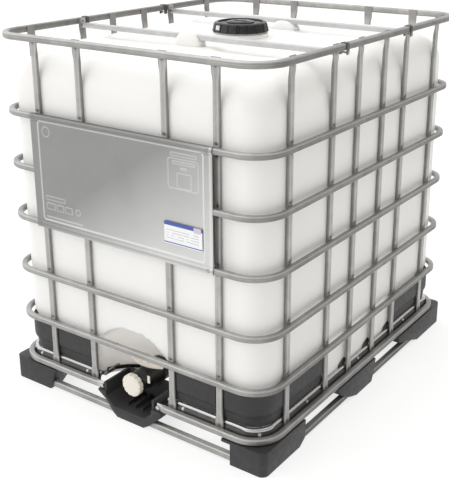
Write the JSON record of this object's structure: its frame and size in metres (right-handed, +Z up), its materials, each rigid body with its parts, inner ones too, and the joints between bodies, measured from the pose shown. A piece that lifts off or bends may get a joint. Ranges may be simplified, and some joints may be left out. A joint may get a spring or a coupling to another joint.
{
  "type": "intermediate bulk container",
  "caption": "Translucent white plastic bottle in a welded tube cage on a steel and plastic pallet, with a screw lid on top and a butterfly outlet valve low on the front.",
  "frame": {"origin": "on the floor under the middle of the footprint", "axes": "+X along the valve face, +Y from the valve face to the rear, +Z up"},
  "size_m": [1, 1.2, 1.1598],
  "materials": {
    "hdpe_white": "waxy natural polyethylene",
    "black_plastic": "moulded black polyethylene",
    "cream_plastic": "cream polypropylene",
    "white_trim": "white polyethylene film",
    "steel": "galvanised tube",
    "plate_steel": "galvanised sheet",
    "tray_steel": "galvanised sheet",
    "fastener": "zinc plated",
    "sticker": "printed film",
    "rubber": "EPDM rubber"
  },
  "bodies": {
    "container": {"bottle": "hdpe_white", "seal_tab": "white_trim", "top_ring": "steel", "cage_ring_1": "steel", "cage_ring_2": "steel", "cage_ring_3": "steel", "cage_ring_4": "steel", "cage_ring_5": "steel", "bottom_ring": "steel", "front_uprights": "steel", "rear_uprights": "steel", "left_uprights": "steel", "right_uprights": "steel", "front_cross_bar": "steel", "rear_cross_bar": "steel", "bar_brackets": "steel", "bar_bolts": "fastener", "label_plate": "plate_steel", "plate_welds": "fastener", "label_sticker": "sticker", "protector_front_left": "black_plastic", "protector_front_right": "black_plastic", "protector_rear_left": "black_plastic", "protector_rear_right": "black_plastic", "base_tray": "tray_steel", "deck_beams": "tray_steel", "tray_rivets": "fastener", "runner_ring": "steel", "foot_front_left": "black_plastic", "foot_front_right": "black_plastic", "foot_rear_left": "black_plastic", "foot_rear_right": "black_plastic", "foot_mid_left": "black_plastic", "foot_mid_right": "black_plastic", "foot_mid_rear": "black_plastic", "foot_bolts": "fastener", "valve_guard": "black_plastic", "guard_bolts": "fastener", "outlet_gasket": "rubber", "union_nut": "black_plastic", "valve_body": "black_plastic", "stem_seal": "rubber"},
    "lid_collar": {"lid_gasket": "rubber"},
    "lid": {"screw_lid": "black_plastic"},
    "vent_collar": {"vent_gasket": "rubber"},
    "vent": {"vent_plug": "black_plastic"},
    "butterfly": {"valve_disc": "black_plastic", "disc_seal": "rubber", "valve_stem": "fastener", "valve_handle": "cream_plastic", "handle_screw": "fastener"},
    "dust_collar": {"dust_gasket": "rubber"},
    "dust_cover": {"dust_cap": "cream_plastic"}
  },
  "joints": [
    {"name": "lid_rise", "type": "slide", "parent": "container", "child": "lid_collar", "axis": [0, 0, 1], "range_m": [0, 0.021]},
    {"name": "lid_turn", "type": "hinge", "parent": "lid_collar", "child": "lid", "pos_m": [0, 0, 1.14], "axis": [0, 0, 1], "range_deg": [0, 1080]},
    {"name": "vent_rise", "type": "slide", "parent": "lid", "child": "vent_collar", "axis": [0, 0, 1], "range_m": [0, 0.00924]},
    {"name": "vent_turn", "type": "hinge", "parent": "vent_collar", "child": "vent", "pos_m": [0, 0, 1.15], "axis": [0, 0, 1], "range_deg": [0, 1440]},
    {"name": "valve_turn", "type": "hinge", "parent": "container", "child": "butterfly", "pos_m": [0, -0.505, 0.118], "axis": [0, 0, 1], "range_deg": [0, 90]},
    {"name": "dust_cap_travel", "type": "slide", "parent": "container", "child": "dust_collar", "axis": [0, -1, 0], "range_m": [0, 0.015]},
    {"name": "dust_cap_turn", "type": "hinge", "parent": "dust_collar", "child": "dust_cover", "pos_m": [0, -0.57, 0.118], "axis": [0, -1, 0], "range_deg": [0, 1080]}
  ],
  "couplings": [
    {"joint": "lid_rise", "follows": "lid_turn", "m_per_rad": 0.0011141},
    {"joint": "vent_rise", "follows": "vent_turn", "m_per_rad": 0.00036749},
    {"joint": "dust_cap_travel", "follows": "dust_cap_turn", "m_per_rad": 0.00079577}
  ]
}
